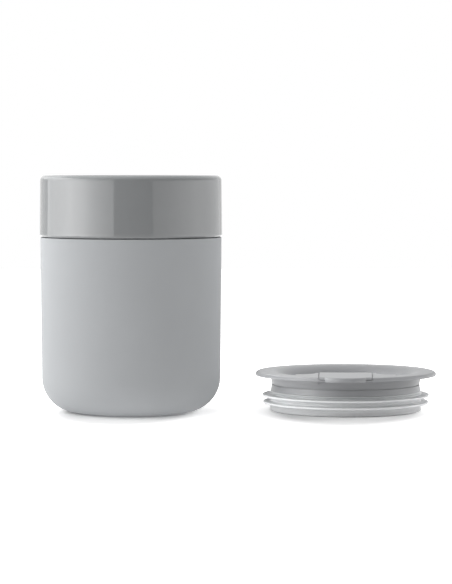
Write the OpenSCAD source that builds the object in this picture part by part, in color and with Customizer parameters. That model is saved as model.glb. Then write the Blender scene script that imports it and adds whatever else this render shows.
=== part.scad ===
// Ceramic travel tumbler in a silicone sleeve, with a push-in sip lid, in millimetres.
// The cup's foot is centred on the origin and +Z is up.
// The lid stands beside the cup on the same table, with its sip flap shut and its thumb tab towards -Y.

/* [Cup] */
// Height from the table to the rim
cup_h = 108.8; // [100:0.2:125]
// Widest diameter of the bare glazed band
band_d = 84; // [80:0.5:90]
// Height of the bare glazed band
band_h = 28.2; // [26:0.2:34]
// Lean of the band's wall towards the rim, in degrees
band_lean = 0.6; // [0:0.1:1.5]
// Rounding of the band's lower edge
band_edge_r = 0.7; // [0.4:0.1:1.6]
// Thickness of the rim, from the widest diameter to the mouth
rim_w = 4.8; // [4.6:0.1:5.6]
// Rounding of the drinking lip, inside and out
lip_r = 1.8; // [1:0.1:1.9]
// Depth of the straight mouth that takes the lid
mouth_depth = 21; // [19:0.5:23]
// Height of the slope from the mouth to the narrower inside wall
throat_h = 14; // [8:1:20]
// Wall and floor thickness of the ceramic inside the sleeve
wall_t = 4; // [3:0.1:5]
// Radius of the shallow recess under the ceramic foot
foot_recess_r = 19; // [12:1:21]
// Depth of the recess under the foot
foot_recess_h = 0.8; // [0.3:0.1:1.2]

/* [Sleeve] */
// Thickness of the silicone
sleeve_t = 2; // [1.5:0.1:2.5]
// Step inward from the glazed band to the sleeve
sleeve_step = 0.3; // [0.1:0.1:0.8]
// Lean of the sleeve's side towards the foot, in degrees
sleeve_lean = 0.46; // [0:0.02:1]
// Radius of the rounded bottom edge
sleeve_corner_r = 17; // [13:0.5:19]
// Open seam between the glazed band and the top of the sleeve
seam_gap = 0.6; // [0.3:0.1:1.2]
// Clearance between the sleeve and the ceramic
sleeve_clear = 0.1; // [0.05:0.01:0.2]

/* [Lid] */
// Clear distance between the widest circles of the cup and the lid, along X
lid_gap = 15; // [8:0.5:40]
// How far the lid's axis stands behind the cup's axis
lid_back = 10; // [0:1:40]
// Height of the lid from the table to its flat ring
lid_h = 18.2; // [17.6:0.1:20]
// Step inward from the cup's widest diameter to the flange
flange_inset = 0.1; // [0:0.1:0.6]
// Thickness of the flange
flange_t = 1.8; // [1.7:0.1:2.2]
// Large rounding of the upper edge of the flange and of the flap over it
flange_edge_r = 1.5; // [1.2:0.1:1.6]
// Width of the flat ring around the dish
ring_w = 6.9; // [6.3:0.1:7.5]
// Depth of the dish
dish_depth = 7.2; // [6.6:0.1:8]
// Radius of the dish's curved wall
dish_wall_r = 8.5; // [7:0.1:9]
// Rounding of the dish's upper edge
dish_edge_r = 7; // [6:0.1:8]
// Thickness of the dish's shell
shell_t = 1.8; // [1.4:0.1:2.2]
// Gap between the lid's neck and the cup's mouth, on the radius
neck_gap = 2.4; // [2:0.1:2.8]
// Depth of the neck's waist
waist_in = 0.6; // [0.2:0.1:1]
// Height of the waist above the table
waist_z = 12.2; // [11:0.1:13.5]
// Width of the fine groove around the waist
waist_line_w = 0.5; // [0.3:0.05:0.7]
// Depth of that groove
waist_line_d = 0.5; // [0.3:0.05:0.7]
// Fillet between the neck and the flange
neck_fillet_r = 0.9; // [0.4:0.1:1.4]
// Thickness of the skirt behind the gasket
skirt_t = 1.6; // [1.2:0.1:2]
// Height of the lip that holds the gasket from below
skirt_lip_h = 0.7; // [0.6:0.05:0.9]
// Rounding of that lip's lower edge
skirt_lip_r = 0.4; // [0.2:0.1:0.5]
// Radius of the air hole
vent_r = 1; // [0.6:0.1:1.5]
// How far the air hole is behind the lid's axis
vent_back = 14; // [10:0.5:17]

/* [Gasket] */
// Height of the gasket's ring
gasket_h = 8.45; // [8.2:0.05:8.6]
// Thickness of the gasket's ring
gasket_t = 1.7; // [1.3:0.1:2]
// Clearance around the gasket in its groove
gasket_clear = 0.05; // [0.02:0.01:0.15]
// How far the upper fin is wider than the mouth, on the radius
fin_squeeze = 1.5; // [0.8:0.1:2]
// How much shorter the lower fin is
fin_step = 0.3; // [0:0.1:0.6]
// Distance of the upper fin below the gasket's top
fin_top_drop = 2.1; // [1.9:0.05:2.3]
// Distance between the fins
fin_pitch = 3.25; // [2.6:0.05:3.6]
// Thickness of a fin at its root
fin_root_t = 1.4; // [1.1:0.1:1.7]
// Thickness of a fin at its rounded tip
fin_tip_t = 0.9; // [0.6:0.1:1]

/* [Flap] */
// Width of the flap
flap_w = 23.7; // [22.4:0.1:25]
// Thickness of the flap over the dish
flap_t = 2; // [1.7:0.1:2.3]
// Thickness of the flap's lip over the ring
flap_lip_t = 1.05; // [0.9:0.05:1.15]
// How far the flap stands above the ring
flap_rise = 0.2; // [0:0.05:0.4]
// Gap between the flap's lip and its seat in the ring, below it and at its sides
seat_gap = 0.25; // [0.2:0.05:0.3]
// Length of that seat, from the flange's edge inward
seat_l = 11.5; // [11:0.1:12]
// Slit between the flap and each hinge cheek
slit = 0.55; // [0.4:0.05:0.8]
// Distance of the hinge from the front of the dish's rim
hinge_front = 21.8; // [21.2:0.1:23.5]
// Radius of the flap's hinge knuckles
knuckle_r = 2.7; // [2.4:0.1:2.9]
// Length of each knuckle
knuckle_l = 4.2; // [3:0.1:6]
// Radius of the moulded pivot pegs
peg_r = 1.2; // [1:0.05:1.4]
// Running clearance of the pegs in the cheeks, on the radius
peg_clear = 0.07; // [0.04:0.01:0.09]
// Thickness of each hinge cheek
cheek_t = 1.5; // [1.3:0.1:1.8]
// Radius of the thumb tab's rounded nose
tab_r = 13; // [12:0.5:15]
// How far the thumb tab stands out past the flange
tab_out = 3.1; // [2:0.1:4]
// Thickness of the thumb tab
tab_t = 2.2; // [1.8:0.1:2.6]
// Gap between the thumb tab and the flange's edge
tab_gap = 0.3; // [0.25:0.05:0.6]

/* [Spout] */
// Distance of the drinking hole from the front of the dish's rim
spout_front = 11.6; // [11.2:0.1:12]
// Width of the drinking hole
spout_w = 16; // [14:0.5:17]
// Length of the drinking hole
spout_l = 5.6; // [5:0.1:5.8]
// Wall around the drinking hole
spout_wall = 1.5; // [1.2:0.1:1.6]
// Thickness of the stopper's sealing pad
pad_t = 0.9; // [0.7:0.1:1.1]
// How far the pad reaches past the hole, all round
pad_reach = 1.1; // [0.8:0.1:1.2]
// Gap between the pad and the spout while the flap is shut
seal_gap = 0.3; // [0.25:0.05:0.4]
// Length of the stopper's core below the pad
core_l = 2; // [1:0.1:2.2]
// Gap between the core and the hole, all round
core_gap = 0.8; // [0.7:0.1:1]
// Radius of the two posts that hold the stopper
post_r = 1.2; // [0.8:0.1:1.3]
// Distance of each post from the middle of the flap
post_x = 4.4; // [3.5:0.1:4.6]
// Length of each post
post_l = 2; // [1.2:0.1:2.2]
// Clearance of the posts in the stopper
post_clear = 0.05; // [0.03:0.01:0.1]

/* [Hidden] */
$fn = 96;
eps = 0.01;
over = 5;

// Heights of the cup's seam
band_z = cup_h - band_h;
sleeve_top = band_z - seam_gap;

// Outside of the sleeve: a leaning side that runs into the rounded corner without a kink
sleeve_top_r = band_d / 2 - sleeve_step;
corner_x = sleeve_top_r - (sleeve_corner_r + (sleeve_top - sleeve_corner_r) * sin(sleeve_lean)) / cos(sleeve_lean);
function side_x(z, inset) =
    corner_x + (sleeve_corner_r - inset + (z - sleeve_corner_r) * sin(sleeve_lean)) / cos(sleeve_lean);
ceramic_inset = sleeve_t + sleeve_clear;
inside_inset = ceramic_inset + wall_t;

// Band: the lower edge and the lip are circles, and the wall is their common tangent
band_edge = [band_d / 2 - band_edge_r, band_z + band_edge_r];
lip_z = cup_h - lip_r;
lip_out_x = band_edge[0] + (band_edge_r - lip_r - (lip_z - band_edge[1]) * sin(band_lean)) / cos(band_lean);
band_normal = [cos(band_lean), sin(band_lean)];
mouth_r = band_d / 2 - rim_w;
lip_in_x = mouth_r + lip_r;
throat_z = cup_h - mouth_depth;

// Lid: flange, ring and dish
flange_r = band_d / 2 - flange_inset;
flange_z = lid_h - flange_t;
lid_x = band_d / 2 + flange_r + lid_gap;
dish_floor = lid_h - dish_depth;
dish_rim_r = flange_r - ring_w;
dish_edge = [dish_rim_r, lid_h - dish_edge_r];
bowl_z = dish_floor + dish_wall_r;
bowl_to_edge = dish_wall_r + dish_edge_r;
bowl_x = dish_rim_r - sqrt(pow(bowl_to_edge, 2) - pow(bowl_z - dish_edge[1], 2));
edge_touch_z = bowl_z + (dish_edge[1] - bowl_z) * dish_wall_r / bowl_to_edge;
function bowl_r(z) = bowl_x + sqrt(pow(dish_wall_r, 2) - pow(bowl_z - z, 2));

// Lid: neck, skirt and gasket groove
neck_r = mouth_r - neck_gap;
waist_r = neck_r - waist_in;
groove_r = neck_r - gasket_t - gasket_clear;
groove_top = skirt_lip_h + gasket_h + 2 * gasket_clear;
skirt_in_r = groove_r - skirt_t;
crown_z = flange_z - shell_t;

// Gasket fins
gasket_z = skirt_lip_h + gasket_clear;
fin_high_z = gasket_z + gasket_h - fin_top_drop;
fin_low_z = fin_high_z - fin_pitch;
fin_high_r = mouth_r + fin_squeeze;
fin_low_r = fin_high_r - fin_step;

// Flap, hinge and cheeks
flap_top = lid_h + flap_rise;
flap_under = flap_top - flap_t;
lip_under = flap_top - flap_lip_t;
seat_z = lip_under - seat_gap;
hinge_y = hinge_front - dish_rim_r;
hinge_z = flap_top - knuckle_r;
cheek_end_r = knuckle_r - flap_rise;
cheek_in = flap_w / 2 + slit;
cheek_out = cheek_in + cheek_t;
// Fillet that leaves the cheek at the hinge and runs into the dish's rim without a kink
cheek_fillet_r = (pow(dish_rim_r, 2) - pow(cheek_out, 2) - pow(hinge_y, 2)) / (2 * (dish_rim_r + cheek_out));
fillet_x = cheek_out + cheek_fillet_r;
flap_body_gap = 0.6;
flap_body_r = bowl_r(flap_under) - flap_body_gap;
tab_y = -(flange_r + tab_out - tab_r);
// The thumb tab starts where its round nose is no wider than the flap
tab_root = sqrt(max(pow(tab_r, 2) - pow(flap_w / 2, 2), pow(tab_r / 3, 2)));
peg_end = cheek_out - seal_gap;

// Drinking hole and stopper
spout_y = spout_front - dish_rim_r;
pad_z = flap_under - post_clear - pad_t;
spout_top = pad_z - seal_gap;

// Slot outline with round ends, w across and l deep
module slot(w, l) {
    square([w - l, l], center = true);
    for (side = [-1, 1])
        translate([side * (w - l) / 2, 0])
            circle(d = l);
}

// Half outline of a disc with a large round on its upper edge
module disc_profile(r, t) {
    square([r - flange_edge_r, t]);
    intersection() {
        square([r, t]);
        translate([r - flange_edge_r, t - flange_edge_r])
            circle(r = flange_edge_r);
    }
}

module round_disc(r, t) {
    rotate_extrude()
        disc_profile(r, t);
}

// Half outline of the leaning side and rounded corner, moved inward by inset and cut off at z_top
module side_profile(inset, z_top) {
    corner_r = sleeve_corner_r - inset;
    polygon([
        [0, inset],
        [corner_x, inset],
        [corner_x, sleeve_corner_r],
        [corner_x + corner_r * cos(sleeve_lean), sleeve_corner_r - corner_r * sin(sleeve_lean)],
        [side_x(z_top, inset), z_top],
        [0, z_top]
    ]);
    translate([corner_x, sleeve_corner_r])
        circle(r = corner_r);
}

// Half outline of the bare band with its rounded lower edge and the outer half of the lip
module band_profile() {
    polygon([
        [0, band_z],
        [band_edge[0], band_z],
        band_edge,
        band_edge + band_edge_r * band_normal,
        [lip_out_x, lip_z] + lip_r * band_normal,
        [lip_out_x, lip_z],
        [lip_out_x, cup_h],
        [0, cup_h]
    ]);
    translate(band_edge)
        circle(r = band_edge_r);
    translate([lip_out_x, lip_z])
        circle(r = lip_r);
}

// Half outline of the space inside the cup, with the inner half of the lip left standing
module inside_profile() {
    side_profile(inside_inset, throat_z - throat_h);
    polygon([
        [0, throat_z - throat_h - eps],
        [side_x(throat_z - throat_h, inside_inset), throat_z - throat_h - eps],
        [side_x(throat_z - throat_h, inside_inset), throat_z - throat_h],
        [mouth_r, throat_z],
        [mouth_r, lip_z],
        [0, lip_z]
    ]);
    difference() {
        translate([0, lip_z - eps])
            square([lip_in_x, lip_r + over]);
        translate([lip_in_x, lip_z])
            circle(r = lip_r);
    }
}

module ceramic_cup() {
    color("#8d9092")
        rotate_extrude()
            difference() {
                union() {
                    side_profile(ceramic_inset, band_z + eps);
                    band_profile();
                }
                inside_profile();
                translate([0, ceramic_inset - over])
                    square([foot_recess_r, foot_recess_h + over]);
            }
}

module silicone_sleeve() {
    color("#9b9da0")
        rotate_extrude()
            difference() {
                side_profile(0, sleeve_top);
                side_profile(sleeve_t, sleeve_top + over);
            }
}

// Half outline of the dish, or of its shell when grown by t
module dish_profile(t) {
    translate([0, dish_floor - t])
        square([bowl_x, dish_depth + t + over]);
    intersection() {
        translate([bowl_x, bowl_z])
            circle(r = dish_wall_r + t);
        translate([bowl_x - eps, dish_floor - t])
            square([dish_wall_r + t + over, dish_wall_r + t]);
    }
}

// Half outline of the upper edge of the dish, outside its curved wall
module dish_edge_profile() {
    difference() {
        translate([0, edge_touch_z])
            square([dish_rim_r, lid_h - edge_touch_z + over]);
        translate(dish_edge)
            circle(r = dish_edge_r);
    }
}

// Flange, neck and skirt, with the gasket's groove and the hollow under the dish
module lid_shell() {
    rotate_extrude()
        difference() {
            union() {
                translate([0, flange_z])
                    disc_profile(flange_r, flange_t);
                polygon([
                    [0, skirt_lip_r],
                    [neck_r, skirt_lip_r],
                    [neck_r, groove_top],
                    [waist_r, waist_z],
                    [neck_r, flange_z - neck_fillet_r],
                    [neck_r, flange_z + eps],
                    [0, flange_z + eps]
                ]);
                square([neck_r - skirt_lip_r, skirt_lip_r + eps]);
                translate([neck_r - skirt_lip_r, skirt_lip_r])
                    circle(r = skirt_lip_r);
                difference() {
                    translate([neck_r - eps, flange_z - neck_fillet_r])
                        square([neck_fillet_r + eps, neck_fillet_r + eps]);
                    translate([neck_r + neck_fillet_r, flange_z - neck_fillet_r])
                        circle(r = neck_fillet_r);
                }
            }
            translate([groove_r, skirt_lip_h])
                square([over, groove_top - skirt_lip_h]);
            translate([waist_r - waist_line_d, waist_z - waist_line_w / 2])
                square([over, waist_line_w]);
            difference() {
                translate([0, -over])
                    square([skirt_in_r, crown_z + over]);
                dish_profile(shell_t);
            }
            dish_profile(0);
            dish_edge_profile();
        }
}

// Everything inside the outer surface of the dish, up to the ring
module dish_envelope() {
    rotate_extrude()
        intersection() {
            union() {
                dish_profile(shell_t);
                translate([0, crown_z])
                    square([dish_rim_r + eps, flange_t + shell_t]);
            }
            square([flange_r, lid_h]);
        }
}

// Plan of one hinge cheek and the fillet that runs it into the ring
module cheek_plan() {
    difference() {
        translate([cheek_in, -flange_r])
            square([fillet_x - cheek_in, flange_r + hinge_y]);
        translate([fillet_x, hinge_y])
            circle(r = cheek_fillet_r);
    }
    translate([cheek_in, -flange_r])
        square([cheek_t, flange_r + hinge_y + cheek_end_r]);
}

// Side view of a cheek, rounded about the hinge; x runs along Y and y along Z
module cheek_side() {
    translate([-flange_r, 0])
        square([flange_r + hinge_y, lid_h]);
    translate([hinge_y - eps, 0])
        square([cheek_end_r + eps, hinge_z]);
    translate([hinge_y, hinge_z])
        circle(r = cheek_end_r);
}

module hinge_cheeks() {
    intersection() {
        dish_envelope();
        rotate([90, 0, 90])
            linear_extrude(height = 2 * flange_r, center = true)
                cheek_side();
        for (side = [0, 1])
            mirror([side, 0, 0])
                linear_extrude(height = lid_h)
                    cheek_plan();
    }
}

module spout() {
    intersection() {
        dish_envelope();
        translate([0, spout_y, 0])
            linear_extrude(height = spout_top)
                slot(spout_w + 2 * spout_wall, spout_l + 2 * spout_wall);
    }
}

// Space above the flap's seat: close to the flap in the ring, and a slit wider over the dish
module flap_space() {
    translate([-flap_w / 2 - seat_gap, -flange_r - over, seat_z])
        cube([flap_w + 2 * seat_gap, over + seat_l + eps, over]);
    translate([-cheek_in, seat_l - flange_r, seat_z])
        cube([2 * cheek_in, flange_r - seat_l + hinge_y, over]);
}

module at_lid() {
    translate([lid_x, lid_back, 0])
        children();
}

module lid_body() {
    color("#85888a")
        at_lid()
            difference() {
                union() {
                    lid_shell();
                    hinge_cheeks();
                    spout();
                }
                translate([0, spout_y, -over])
                    linear_extrude(height = lid_h + 2 * over)
                        slot(spout_w, spout_l);
                flap_space();
                translate([0, hinge_y, hinge_z])
                    rotate([0, 90, 0])
                        cylinder(r = peg_r + peg_clear, h = 2 * cheek_out + over, center = true);
                translate([0, vent_back, 0])
                    cylinder(r = vent_r, h = lid_h);
            }
}

// One fin: tapered from its root in the ring to a round tip
module fin_profile(z, tip_r) {
    tip_x = tip_r - fin_tip_t / 2;
    root_x = neck_r - gasket_t / 2;
    polygon([
        [root_x, z - fin_root_t / 2],
        [tip_x, z - fin_tip_t / 2],
        [tip_x, z + fin_tip_t / 2],
        [root_x, z + fin_root_t / 2]
    ]);
    translate([tip_x, z])
        circle(d = fin_tip_t);
}

module lid_gasket() {
    color("#d9dadb")
        at_lid()
            rotate_extrude() {
                translate([neck_r - gasket_t, gasket_z])
                    square([gasket_t, gasket_h]);
                fin_profile(fin_high_z, fin_high_r);
                fin_profile(fin_low_z, fin_low_r);
            }
}

// The flap's strip in plan, from the hinge to the flange
module flap_strip() {
    translate([-flap_w / 2, -flange_r])
        square([flap_w, flange_r + hinge_y]);
}

// The lip over the ring completes the flange's round edge, and the thicker body lies over the dish
module flap_plate() {
    intersection() {
        translate([0, 0, flange_z + flap_rise])
            round_disc(flange_r, flange_t);
        translate([0, 0, lip_under])
            linear_extrude(height = flap_lip_t)
                flap_strip();
    }
    translate([0, 0, flap_under])
        linear_extrude(height = flap_t)
            intersection() {
                flap_strip();
                circle(r = flap_body_r);
            }
}

module thumb_tab() {
    difference() {
        translate([0, tab_y, flap_top - tab_t])
            round_disc(tab_r, tab_t);
        translate([0, 0, lip_under - over])
            cylinder(r = flange_r + tab_gap, h = over);
        translate([-flange_r, tab_y - tab_root, 0])
            cube([2 * flange_r, flange_r, lid_h + over]);
    }
}

module flap_hinge() {
    translate([0, hinge_y, flap_under + flap_t / 2])
        rotate([0, 90, 0])
            cylinder(d = flap_t, h = flap_w, center = true);
    translate([0, hinge_y, hinge_z])
        for (side = [-1, 1])
            rotate([0, 90 * side, 0]) {
                translate([0, 0, flap_w / 2 - knuckle_l])
                    cylinder(r = knuckle_r, h = knuckle_l);
                translate([0, 0, flap_w / 2 - eps])
                    cylinder(r = peg_r, h = peg_end - flap_w / 2 + eps);
            }
}

module sip_flap() {
    color("#888b8d")
        at_lid() {
            flap_plate();
            thumb_tab();
            flap_hinge();
            for (side = [-1, 1])
                translate([side * post_x, spout_y, flap_under - post_l])
                    cylinder(r = post_r, h = post_l + eps);
        }
}

module sip_seal() {
    color("#d9dadb")
        at_lid()
            translate([0, spout_y, 0])
                difference() {
                    union() {
                        translate([0, 0, pad_z])
                            linear_extrude(height = pad_t)
                                slot(spout_w + 2 * pad_reach, spout_l + 2 * pad_reach);
                        translate([0, 0, pad_z - core_l])
                            linear_extrude(height = core_l + eps)
                                slot(spout_w - 2 * core_gap, spout_l - 2 * core_gap);
                    }
                    for (side = [-1, 1])
                        translate([side * post_x, 0, flap_under - post_l - post_clear])
                            cylinder(r = post_r + post_clear, h = post_l + over);
                }
}

ceramic_cup();
silicone_sleeve();
lid_body();
lid_gasket();
sip_flap();
sip_seal();
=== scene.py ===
# A ceramic travel tumbler in its silicone sleeve, with the push-in sip lid standing beside it.
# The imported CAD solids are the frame. The sections below dress it, in the order of assembly.
import math

import bmesh
import bpy
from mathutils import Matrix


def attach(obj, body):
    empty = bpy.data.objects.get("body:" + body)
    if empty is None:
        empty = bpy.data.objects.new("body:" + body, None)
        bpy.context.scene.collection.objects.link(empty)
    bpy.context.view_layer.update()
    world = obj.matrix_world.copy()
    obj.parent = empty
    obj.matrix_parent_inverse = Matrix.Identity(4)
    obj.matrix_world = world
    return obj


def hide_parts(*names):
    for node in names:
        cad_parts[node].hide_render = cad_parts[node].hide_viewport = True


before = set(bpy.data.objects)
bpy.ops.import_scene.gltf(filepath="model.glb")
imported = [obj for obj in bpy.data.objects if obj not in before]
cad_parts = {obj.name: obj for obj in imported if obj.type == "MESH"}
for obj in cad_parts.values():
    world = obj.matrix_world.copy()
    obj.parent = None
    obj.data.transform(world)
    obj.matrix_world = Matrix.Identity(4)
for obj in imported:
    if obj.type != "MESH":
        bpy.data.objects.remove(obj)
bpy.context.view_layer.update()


# Ceramic cup
# Slip-cast stoneware, fired with a glossy grey glaze. The bare band at the top is the drinking rim,
# and below it the wall steps in so that the sleeve lies almost flush.
mm = 0.001


def turned(name, outline, axis=(0, 0), closed=False, turns=192, step=2.5, facet=9):
    """Turns an outline about an upright axis. Each point is (radius, height, rounding), in millimetres.
    step is the longest edge along the outline, and facet the degrees that each edge of a rounding turns."""
    bm = bmesh.new()
    corners = [bm.verts.new((r * mm, 0, z * mm)) for r, z, _ in outline]
    ends = corners[1:] + corners[:1] if closed else corners[1:]
    for a, b in zip(corners, ends):
        bm.edges.new((a, b))
    places = [v.co.copy() for v in corners]
    for i, (corner, (_, _, rounding)) in enumerate(zip(corners, outline)):
        if rounding:
            turn = (places[i] - places[i - 1]).angle(places[(i + 1) % len(places)] - places[i])
            bmesh.ops.bevel(
                bm, geom=[corner], offset=rounding * mm * math.tan(turn / 2), affect="VERTICES",
                segments=max(2, round(math.degrees(turn) / facet)), profile=0.5, material=-1)
    for edge in list(bm.edges):
        cuts = int(edge.calc_length() / (step * mm))
        if cuts:
            bmesh.ops.subdivide_edges(bm, edges=[edge], cuts=cuts)
    bmesh.ops.spin(
        bm, geom=bm.verts[:] + bm.edges[:], cent=(0, 0, 0), axis=(0, 0, 1),
        angle=math.tau, steps=turns, use_merge=True)
    bmesh.ops.remove_doubles(bm, verts=bm.verts, dist=0.001 * mm)
    bmesh.ops.translate(bm, verts=bm.verts, vec=(axis[0] * mm, axis[1] * mm, 0))
    bmesh.ops.recalc_face_normals(bm, faces=bm.faces)
    return finished(name, bm)


def finished(name, bm, sharp=50):
    """Makes a bmesh into a smooth-shaded object, with hard edges only where faces meet at more than
    sharp degrees."""
    mesh = bpy.data.meshes.new(name)
    bm.to_mesh(mesh)
    bm.free()
    mesh.shade_smooth()
    mesh.set_sharp_from_angle(angle=math.radians(sharp))
    piece = bpy.data.objects.new(name, mesh)
    bpy.context.scene.collection.objects.link(piece)
    return piece


def linear(hex_colour):
    """An sRGB hex value as linear red, green, blue and alpha."""
    parts = [int(hex_colour[i:i + 2], 16) / 255 for i in (1, 3, 5)]
    return [c / 12.92 if c <= 0.04045 else ((c + 0.055) / 1.055) ** 2.4 for c in parts] + [1]


def add(tree, kind, inputs=(), **settings):
    """Adds a node with its settings, and gives its inputs their values or links."""
    node = tree.nodes.new(kind)
    for key, value in settings.items():
        setattr(node, key, value)
    for key, value in dict(inputs).items():
        if isinstance(value, bpy.types.NodeSocket):
            tree.links.new(value, node.inputs[key])
        else:
            node.inputs[key].default_value = value
    return node


def new_material(name):
    """An empty node material with its output, and the tree to build it in."""
    material = bpy.data.materials.new(name)
    material.use_nodes = True
    tree = material.node_tree
    tree.nodes.clear()
    return material, tree, add(tree, "ShaderNodeOutputMaterial")


# The outline runs from the hollow under the foot up the outside, over the lip and down the inside.
rim_top = 108.8
band_foot = 80.6
mouth_radius = 37.2
ceramic_cup = turned("ceramic_cup_glazed", [
    (0, 2.9, 0), (19, 2.9, 0.3), (19, 2.1, 0.3), (38.975, 2.1, 14.9), (39.605, band_foot, 0.2),
    (42.007, band_foot, 1.1), (41.712, rim_top, 2.5), (mouth_radius, rim_top, 1.6), (mouth_radius, 87.8, 6),
    (35.55, 73.8, 6), (35.006, 6.1, 10.9), (0, 6.1, 0)])
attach(ceramic_cup, "cup")
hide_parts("ceramic_cup")

# Glossy stoneware glaze: a mirror-like skin over an even grey, a little cloudy where it ran thicker,
# and paler over the lip as a painted highlight along the rim. A mix node's colours are its sockets 6, 7 and
# 2.
rim_highlight_from, rim_highlight_to = rim_top - 1.9, rim_top - 0.3
glaze, tree, out = new_material("glossy_grey_glaze")
place = add(tree, "ShaderNodeTexCoord").outputs["Object"]
cloud = add(tree, "ShaderNodeTexNoise", {"Vector": place, "Scale": 1 / (14 * mm), "Detail": 2})
tint = add(tree, "ShaderNodeValToRGB", {"Fac": cloud.outputs["Fac"]})
tint.color_ramp.elements[0].color = linear("#6e7071")
tint.color_ramp.elements[1].color = linear("#737576")
height = add(tree, "ShaderNodeSeparateXYZ", {0: place}).outputs["Z"]
# The paler glaze over the lip is a painted highlight along the rim.
painted_rim_highlight = add(tree, "ShaderNodeMapRange", {
    "Value": height, "From Min": rim_highlight_from * mm, "From Max": rim_highlight_to * mm})
tint = add(tree, "ShaderNodeMix", {
    "Factor": painted_rim_highlight.outputs[0], 6: tint.outputs["Color"], 7: linear("#9a9d9e")}, data_type="RGBA")
swell = add(tree, "ShaderNodeTexNoise", {"Vector": place, "Scale": 1 / (9 * mm), "Detail": 1})
ripple = add(tree, "ShaderNodeBump", {
    "Height": swell.outputs["Fac"], "Strength": 0.05, "Distance": 0.1 * mm})
skin = add(tree, "ShaderNodeBsdfPrincipled", {
    "Base Color": tint.outputs[2], "Roughness": 0.07, "IOR": 1.52, "Normal": ripple.outputs["Normal"]})
tree.links.new(skin.outputs["BSDF"], out.inputs["Surface"])
ceramic_cup.data.materials.append(glaze)


# Silicone sleeve
# Moulded in one piece and pulled up over the cup. It covers the foot and ends in a clean edge,
# a narrow seam below the bare band.
sleeve_top = 80.35
sleeve = turned("silicone_sleeve_soft", [
    (0, 0, 0), (41.058, 0, 15.8), (41.7, sleeve_top, 0.3),
    (39.7, sleeve_top, 0.3), (39.074, 2, 15), (0, 2, 0)])
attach(sleeve, "cup")
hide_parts("silicone_sleeve")

# Moulded silicone: matt and powdery, with no clear reflection. The real spark-eroded grain is finer,
# and is drawn at 0.35 mm so that it shows.
silicone, tree, out = new_material("matt_grey_silicone")
place = add(tree, "ShaderNodeTexCoord").outputs["Object"]
cloud = add(tree, "ShaderNodeTexNoise", {"Vector": place, "Scale": 1 / (25 * mm), "Detail": 3})
tint = add(tree, "ShaderNodeValToRGB", {"Fac": cloud.outputs["Fac"]})
tint.color_ramp.elements[0].color = linear("#9fa1a3")
tint.color_ramp.elements[1].color = linear("#a4a6a8")
grain = add(tree, "ShaderNodeTexNoise", {"Vector": place, "Scale": 1 / (0.35 * mm), "Detail": 2})
tooth = add(tree, "ShaderNodeBump", {
    "Height": grain.outputs["Fac"], "Strength": 0.15, "Distance": 0.03 * mm})
skin = add(tree, "ShaderNodeBsdfPrincipled", {
    "Base Color": tint.outputs["Color"], "Roughness": 0.8, "Diffuse Roughness": 0.4, "IOR": 1.41,
    "Normal": tooth.outputs["Normal"]})
tree.links.new(skin.outputs["BSDF"], out.inputs["Surface"])
sleeve.data.materials.append(silicone)


# Lid body
# Injection-moulded polypropylene: a flat flange around a shallow dish, with a neck and skirt below it
# that push into the cup. The two hinge cheeks, the drinking hole and the gasket's groove are moulded in.

# Satin polypropylene: broad, soft highlights over an even grey that clouds a little where the melt flowed.
# The mould's real grain is finer, and is drawn at 0.5 mm so that it shows.
plastic, tree, out = new_material("satin_grey_polypropylene")
place = add(tree, "ShaderNodeTexCoord").outputs["Object"]
cloud = add(tree, "ShaderNodeTexNoise", {"Vector": place, "Scale": 1 / (18 * mm), "Detail": 2})
tint = add(tree, "ShaderNodeValToRGB", {"Fac": cloud.outputs["Fac"]})
tint.color_ramp.elements[0].color = linear("#838486")
tint.color_ramp.elements[1].color = linear("#88898b")
grain = add(tree, "ShaderNodeTexNoise", {"Vector": place, "Scale": 1 / (0.5 * mm), "Detail": 2})
tooth = add(tree, "ShaderNodeBump", {
    "Height": grain.outputs["Fac"], "Strength": 0.08, "Distance": 0.02 * mm})
skin = add(tree, "ShaderNodeBsdfPrincipled", {
    "Base Color": tint.outputs["Color"], "Roughness": 0.38, "IOR": 1.49, "Normal": tooth.outputs["Normal"]})
tree.links.new(skin.outputs["BSDF"], out.inputs["Surface"])
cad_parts["lid_body"].material_slots[0].material = plastic


# Gasket
# A translucent silicone ring stretched into the skirt's groove.
# Its two thin fins bend and seal against the mouth.
lid_axis = (98.9, 10)
gasket = turned("lid_gasket_soft", [
    (33.1, 0.75, 0.2), (34.86, 0.75, 0), (34.86, 0.2, 0.05), (35, 0.2, 0.05),
    (35, 3.2, 0.3), (38.4, 3.4, 0.44), (38.4, 4.3, 0.44), (35, 4.5, 0.3),
    (35, 6.45, 0.3), (38.7, 6.65, 0.44), (38.7, 7.55, 0.44), (35, 7.75, 0.3),
    (34.8, 9.2, 0.3), (33.1, 9.2, 0.2)], axis=lid_axis, closed=True)
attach(gasket, "lid")
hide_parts("lid_gasket")

# Clear-milky silicone: light soaks in, so the fins glow softly. The ring is darker at its lower edge
# and on its collar. The tints stand at heights in millimetres above the table.
tints = ((1.5, "#bcbdbe"), (3.4, "#d4d5d6"), (7.8, "#d4d5d6"), (8.5, "#949798"), (10, "#d4d5d6"))
tinted_height = 20
milky, tree, out = new_material("milky_silicone")
place = add(tree, "ShaderNodeTexCoord").outputs["Object"]
cloud = add(tree, "ShaderNodeTexNoise", {"Vector": place, "Scale": 1 / (8 * mm), "Detail": 2})
height = add(tree, "ShaderNodeSeparateXYZ", {0: place}).outputs["Z"]
waver = add(tree, "ShaderNodeMath", {
    0: cloud.outputs["Fac"], 1: 0.4 * mm, 2: height}, operation="MULTIPLY_ADD")
share = add(tree, "ShaderNodeMapRange", {"Value": waver.outputs[0], "From Max": tinted_height * mm})
tint = add(tree, "ShaderNodeValToRGB", {"Fac": share.outputs[0]})
for at, colour in tints:
    tint.color_ramp.elements.new(at / tinted_height).color = linear(colour)
tint.color_ramp.elements.remove(tint.color_ramp.elements[0])
tint.color_ramp.elements.remove(tint.color_ramp.elements[-1])
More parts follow.
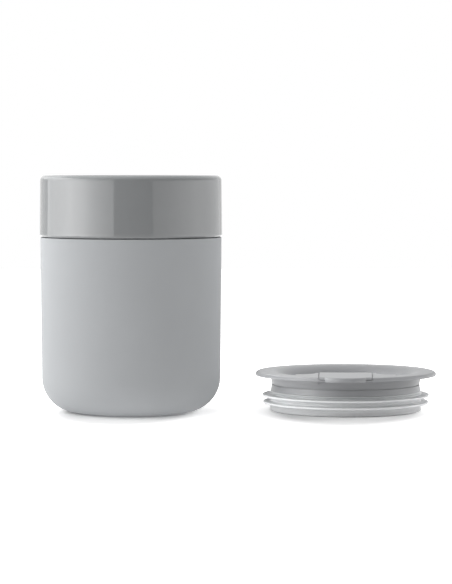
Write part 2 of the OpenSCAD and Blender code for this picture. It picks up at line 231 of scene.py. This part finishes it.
skin = add(tree, "ShaderNodeBsdfPrincipled", {
    "Base Color": tint.outputs["Color"], "Roughness": 0.4, "IOR": 1.41, "Subsurface Weight": 0.8,
    "Subsurface Radius": (1, 1, 1), "Subsurface Scale": 0.8 * mm})
tree.links.new(skin.outputs["BSDF"], out.inputs["Surface"])
gasket.data.materials.append(milky)


# Sip flap
# Moulded in the lid's plastic, it snaps into the cheeks by two pegs and lies flush in the ring.
# Its rounded tab stands past the flange for a thumb.
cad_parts["sip_flap"].material_slots[0].material = plastic


# Stopper
# A plug of the gasket's soft silicone, pressed onto two posts under the flap.
# Its plate lies on the posts, and its nose closes the drinking hole.
def slot_prism(bm, width, length, low, high):
    """Adds a solid with round ends between two heights, in millimetres about the origin."""
    flat = bmesh.ops.create_circle(bm, cap_ends=True, radius=length / 2 * mm, segments=48)["verts"]
    for vert in flat:
        vert.co.x += math.copysign((width - length) / 2 * mm, vert.co.x) if abs(vert.co.x) > 1e-9 else 0
        vert.co.z = low * mm
    face = [f for f in bm.faces if all(v in flat for v in f.verts)]
    top = bmesh.ops.extrude_face_region(bm, geom=face)["geom"]
    lifted = [g for g in top if isinstance(g, bmesh.types.BMVert)]
    bmesh.ops.translate(bm, verts=lifted, vec=(0, 0, (high - low) * mm))


hole_from_axis = 23.4
bm = bmesh.new()
slot_prism(bm, width=18.2, length=7.8, low=15.45, high=16.35)
slot_prism(bm, width=14.4, length=4, low=13.45, high=15.46)
bmesh.ops.recalc_face_normals(bm, faces=bm.faces)
bmesh.ops.translate(bm, verts=bm.verts, vec=(lid_axis[0] * mm, (lid_axis[1] - hole_from_axis) * mm, 0))
stopper = finished("sip_seal_soft", bm)
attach(stopper, "flap")
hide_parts("sip_seal")
stopper.data.materials.append(milky)


# Floor and light
# A white table a hair below the feet, a tall diffuser on the left that leans over it as a canopy,
# a dimmer one on the right, and three small lamps for the lid's left side.
# The camera stands in the dark gap between the two diffusers.
table_radius = 1600
table_centre = 50
table_drop = 0.05
bm = bmesh.new()
bmesh.ops.create_circle(bm, cap_ends=True, radius=table_radius * mm, segments=96)
bmesh.ops.translate(bm, verts=bm.verts, vec=(table_centre * mm, 0, -table_drop * mm))
floor = finished("white_table", bm)

# Matt white table top: white to the eye and in reflections, but for an oval around the cup and one
# around the lid, where its glow fades so that their shadows show. Onto the pieces it also glows by itself,
# strongest at their feet: painted light. X is stretched before a distance is taken, which makes the ovals
# narrow.
stretch, forward = 1.85, -10
cup_oval = (-4.5 * mm, forward * mm, 0)
lid_oval = (lid_axis[0] * stretch * mm, (lid_axis[1] + forward) * mm, 0)
lid_oval_wider = 5
glow_span = 800
glow_levels = ((45, 0), (51, 0.07), (64, 0.5), (90, 1))
foot_oval = (28 * mm, forward * mm, 0)
table, tree, out = new_material("white_table_top")
light_path = add(tree, "ShaderNodeLightPath").outputs
seen = add(tree, "ShaderNodeMath", {0: light_path["Is Camera Ray"], 1: light_path["Is Glossy Ray"]})
seen = add(tree, "ShaderNodeMath", {
    0: seen.outputs[0], 1: light_path["Is Transmission Ray"]}, use_clamp=True)
place = add(tree, "ShaderNodeTexCoord").outputs["Object"]
wide = add(tree, "ShaderNodeVectorMath", {0: place, 1: (stretch, 1, 1)}, operation="MULTIPLY").outputs[0]
from_cup = add(tree, "ShaderNodeVectorMath", {0: wide, 1: cup_oval}, operation="DISTANCE")
from_lid = add(tree, "ShaderNodeVectorMath", {0: wide, 1: lid_oval}, operation="DISTANCE")
from_lid = add(tree, "ShaderNodeMath", {
    0: from_lid.outputs["Value"], 1: lid_oval_wider * mm}, operation="SUBTRACT")
nearest = add(tree, "ShaderNodeMath", {
    0: from_cup.outputs["Value"], 1: from_lid.outputs[0]}, operation="MINIMUM")
share = add(tree, "ShaderNodeMapRange", {"Value": nearest.outputs[0], "From Max": glow_span * mm})
clean = add(tree, "ShaderNodeValToRGB", {"Fac": share.outputs[0]})
for distance, level in glow_levels:
    clean.color_ramp.elements.new(distance / glow_span).color = (level, level, level, 1)
clean.color_ramp.elements.remove(clean.color_ramp.elements[0])
clean.color_ramp.elements.remove(clean.color_ramp.elements[-1])
from_foot = add(tree, "ShaderNodeVectorMath", {0: wide, 1: foot_oval}, operation="DISTANCE")
# The table's own glow onto the pieces, strongest near their feet, is painted light.
painted_foot_glow = add(tree, "ShaderNodeMapRange", {
    "Value": from_foot.outputs["Value"], "From Min": 45 * mm, "From Max": 80 * mm,
    "To Min": 0.42, "To Max": 0.12})
glow = add(tree, "ShaderNodeMapRange", {
    "Value": seen.outputs[0], "To Min": painted_foot_glow.outputs[0], "To Max": clean.outputs["Color"]})
top = add(tree, "ShaderNodeBsdfDiffuse", {"Color": linear("#f6f6f6")})
lit = add(tree, "ShaderNodeEmission", {"Color": (1, 1, 1, 1), "Strength": glow.outputs[0]})
both = add(tree, "ShaderNodeAddShader", {0: top.outputs[0], 1: lit.outputs[0]})
tree.links.new(both.outputs[0], out.inputs["Surface"])
floor.data.materials.append(table)


def diffuser(name, azimuth, foot, head, levels, mirrored=True):
    """A curved sheet of light around the table, from one azimuth to another in degrees right of the
    camera's side. foot and head are the (radius, height) of its edges in metres, and levels are
    (share of the sheet, brightness) from its first azimuth to its last. One that isn't mirrored is
    flagged off from the glaze."""
    first, last = (math.radians(a) for a in azimuth)
    bm = bmesh.new()
    edge = bm.edges.new([
        bm.verts.new((math.sin(first) * radius, -math.cos(first) * radius, z))
        for radius, z in (foot, head)])
    bmesh.ops.spin(
        bm, geom=edge.verts[:] + [edge], cent=(0, 0, 0), axis=(0, 0, 1), angle=last - first, steps=24)
    bmesh.ops.recalc_face_normals(bm, faces=bm.faces)
    sheet = finished(name, bm)
    sheet.visible_camera = False
    sheet.visible_glossy = mirrored
    cloth, tree, out = new_material(name + "_cloth")
    place = add(tree, "ShaderNodeTexCoord").outputs["Object"]
    spot = add(tree, "ShaderNodeSeparateXYZ", {0: place}).outputs
    back = add(tree, "ShaderNodeMath", {0: spot["Y"], 1: -1.0}, operation="MULTIPLY")
    angle = add(tree, "ShaderNodeMath", {0: spot["X"], 1: back.outputs[0]}, operation="ARCTAN2")
    share = add(tree, "ShaderNodeMapRange", {
        "Value": angle.outputs[0], "From Min": first, "From Max": last})
    ramp = add(tree, "ShaderNodeValToRGB", {"Fac": share.outputs[0]})
    highest = max(level for _, level in levels)
    stops = ramp.color_ramp.elements
    stops[0].position, stops[1].position = levels[0][0], levels[-1][0]
    for position, _ in levels[1:-1]:
        stops.new(position)
    for stop, (_, level) in zip(stops, levels):
        stop.color = [level / highest] * 3 + [1]
    lamp = add(tree, "ShaderNodeEmission", {"Color": ramp.outputs["Color"], "Strength": highest})
    clear = add(tree, "ShaderNodeBsdfTransparent")
    both = add(tree, "ShaderNodeAddShader", {0: lamp.outputs[0], 1: clear.outputs[0]})
    tree.links.new(both.outputs[0], out.inputs["Surface"])
    sheet.data.materials.append(cloth)


diffuser("left_diffuser", (-123, -16), (1, 0), (1, 0.3), [
    (0, 1.6), (0.084, 1.7), (0.262, 3.4), (0.449, 5.6), (0.621, 5), (0.776, 3.1), (0.925, 2), (1, 1.7)])
diffuser("left_upper_diffuser", (-150, -16), (1, 0.3), (1, 0.9), [
    (0, 0.7), (0.17, 1), (0.42, 4.2), (0.62, 4), (0.84, 1), (1, 0.8)])
diffuser("left_canopy_diffuser", (-180, -30), (1, 0.9), (0.4, 1.1), [
    (0, 2), (0.4, 1.7), (1, 1.4)], mirrored=False)
diffuser("right_diffuser", (32, 155), (1, 0), (1, 0.3), [
    (0, 0.7), (0.093, 0.85), (0.289, 1.5), (0.492, 1.75), (0.695, 1), (0.898, 0.4), (1, 0.3)])
diffuser("right_upper_diffuser", (60, 125), (1, 0.3), (1, 0.9), [
    (0, 1.8), (0.5, 3.6), (1, 4.6)], mirrored=False)

# The lamps leave the table out, so that the lid's shadow stays on it.
off_table = bpy.data.collections.new("off_table")
off_table.objects.link(floor)
off_table.collection_objects[0].light_linking.link_state = "EXCLUDE"
cards_x = 49.5


def card_lamp(name, depth, height, level):
    """An upright card of light between cup and lid, facing the lid, between two depths and two heights
    in millimetres. level is its brightness."""
    tall, deep = (height[1] - height[0]) * mm, (depth[1] - depth[0]) * mm
    card = bpy.data.lights.new(name, "AREA")
    card.shape = "RECTANGLE"
    card.size, card.size_y = tall, deep
    card.energy = level * math.pi * tall * deep
    lamp = bpy.data.objects.new(name, card)
    lamp.location = (cards_x * mm, sum(depth) / 2 * mm, sum(height) / 2 * mm)
    lamp.rotation_euler = (0, math.radians(-90), 0)
    lamp.visible_camera = False
    lamp.light_linking.receiver_collection = off_table
    bpy.context.scene.collection.objects.link(lamp)


card_lamp("low_card", (-50, 8), (0, 12), 1.1)
card_lamp("neck_card", (-50, -6), (13, 22), 3.2)
card_lamp("high_card", (-45, 50), (40, 125), 3.5)

# The room is white to the eye and in reflections, and lights the pieces only a little.
world = bpy.data.worlds.new("white_studio")
bpy.context.scene.world = world
world.use_nodes = True
tree = world.node_tree
tree.nodes.clear()
light_path = add(tree, "ShaderNodeLightPath").outputs
seen = add(tree, "ShaderNodeMath", {0: light_path["Is Camera Ray"], 1: light_path["Is Glossy Ray"]})
seen = add(tree, "ShaderNodeMath", {
    0: seen.outputs[0], 1: light_path["Is Transmission Ray"]}, use_clamp=True)
level = add(tree, "ShaderNodeMapRange", {"Value": seen.outputs[0], "To Min": 0.1, "To Max": 1.0})
sky = add(tree, "ShaderNodeBackground", {"Color": (1, 1, 1, 1), "Strength": level.outputs[0]})
tree.links.new(sky.outputs[0], add(tree, "ShaderNodeOutputWorld").inputs["Surface"])


# Camera
# A long lens a little above the rim and in front of the lid, more than a metre away,
# turned a little to the left and tilted down a little.
image_height = 584
focal_pixels = 2462
tilt, turn = 2.881, 2.789
lens = bpy.data.cameras.new("long_lens")
lens.sensor_width = 36
lens.lens = focal_pixels / image_height * lens.sensor_width
camera = bpy.data.objects.new("long_lens", lens)
camera.location = (98.9 * mm, -1131 * mm, 112.1 * mm)
camera.rotation_euler = (math.radians(90 - tilt), 0, math.radians(turn))
bpy.context.scene.collection.objects.link(camera)
bpy.context.scene.camera = camera
bpy.context.scene.view_settings.view_transform = "Standard"
